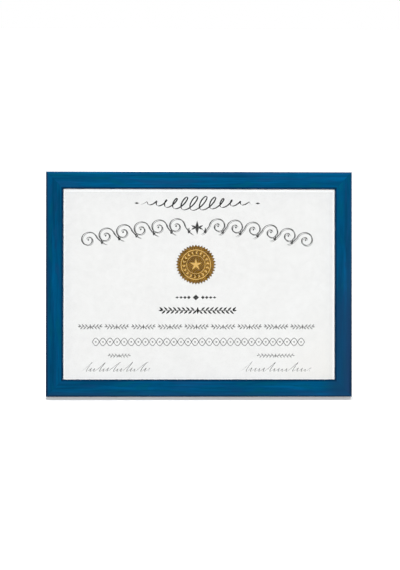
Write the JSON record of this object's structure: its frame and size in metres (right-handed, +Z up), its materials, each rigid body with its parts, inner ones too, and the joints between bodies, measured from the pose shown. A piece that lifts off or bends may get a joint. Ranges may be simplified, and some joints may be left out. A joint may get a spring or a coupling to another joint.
{
  "type": "certificate frame",
  "caption": "Landscape certificate frame in stained mitred wood with a glazed parchment sheet and foil seal, leaning back on a hinged easel leg, with turn buttons and a sawtooth hanger behind.",
  "frame": {"origin": "on the floor that the frame stands on, midway across its width and midway between its front edge and the back of the open easel leg's foot", "axes": "+X along the frame's long side, to the right as seen from the front; +Y backwards, from the glass to the easel leg; +Z up from the floor"},
  "size_m": [0.3282, 0.0814, 0.2386],
  "materials": {
    "stained_wood": "blue stain under satin lacquer",
    "glass": "clear float glass",
    "parchment": "mottled parchment paper",
    "gold_foil": "embossed satin gold foil",
    "filler_board": "matt",
    "black_board": "fibreboard faced in black felt paper",
    "steel": "nickel plated, satin"
  },
  "bodies": {
    "root": {"rail_bottom": "stained_wood", "rail_left": "stained_wood", "rail_top": "stained_wood", "rail_right": "stained_wood", "corner_nails": "steel", "glass_pane": "glass", "certificate_sheet": "parchment", "foil_seal": "gold_foil", "filler_board": "filler_board", "back_panel": "black_board", "hinge_back_leaf": "steel", "hinge_back_rivets": "steel", "hinge_pin": "steel", "sawtooth_hanger": "steel", "hanger_nails": "steel", "turn_button_screws": "steel"},
    "leg": {"easel_leg": "black_board", "hinge_leg_leaf": "steel", "hinge_leg_rivets": "steel"},
    "button_bottom_left": {"turn_button_bottom_left": "steel"},
    "button_bottom_right": {"turn_button_bottom_right": "steel"},
    "button_left": {"turn_button_left": "steel"},
    "button_top_left": {"turn_button_top_left": "steel"},
    "button_top_right": {"turn_button_top_right": "steel"},
    "button_right": {"turn_button_right": "steel"}
  },
  "joints": [
    {"name": "leg_fold", "type": "hinge", "parent": "root", "child": "leg", "pos_m": [0, 0.00821, 0.14532], "axis": [1, 0, 0], "range_deg": [-24, 0]},
    {"name": "turn_bottom_left", "type": "hinge", "parent": "root", "child": "button_bottom_left", "pos_m": [-0.088, -0.02423, 0.00714], "axis": [0, 0.9781, -0.2079], "continuous": true},
    {"name": "turn_bottom_right", "type": "hinge", "parent": "root", "child": "button_bottom_right", "pos_m": [0.088, -0.02423, 0.00714], "axis": [0, 0.9781, -0.2079], "continuous": true},
    {"name": "turn_left", "type": "hinge", "parent": "root", "child": "button_left", "pos_m": [-0.1568, -0.00067, 0.11796], "axis": [0, 0.9781, -0.2079], "continuous": true},
    {"name": "turn_top_left", "type": "hinge", "parent": "root", "child": "button_top_left", "pos_m": [-0.088, 0.02288, 0.22879], "axis": [0, 0.9781, -0.2079], "continuous": true},
    {"name": "turn_top_right", "type": "hinge", "parent": "root", "child": "button_top_right", "pos_m": [0.088, 0.02288, 0.22879], "axis": [0, 0.9781, -0.2079], "continuous": true},
    {"name": "turn_right", "type": "hinge", "parent": "root", "child": "button_right", "pos_m": [0.1568, -0.00067, 0.11796], "axis": [0, 0.9781, -0.2079], "continuous": true}
  ]
}
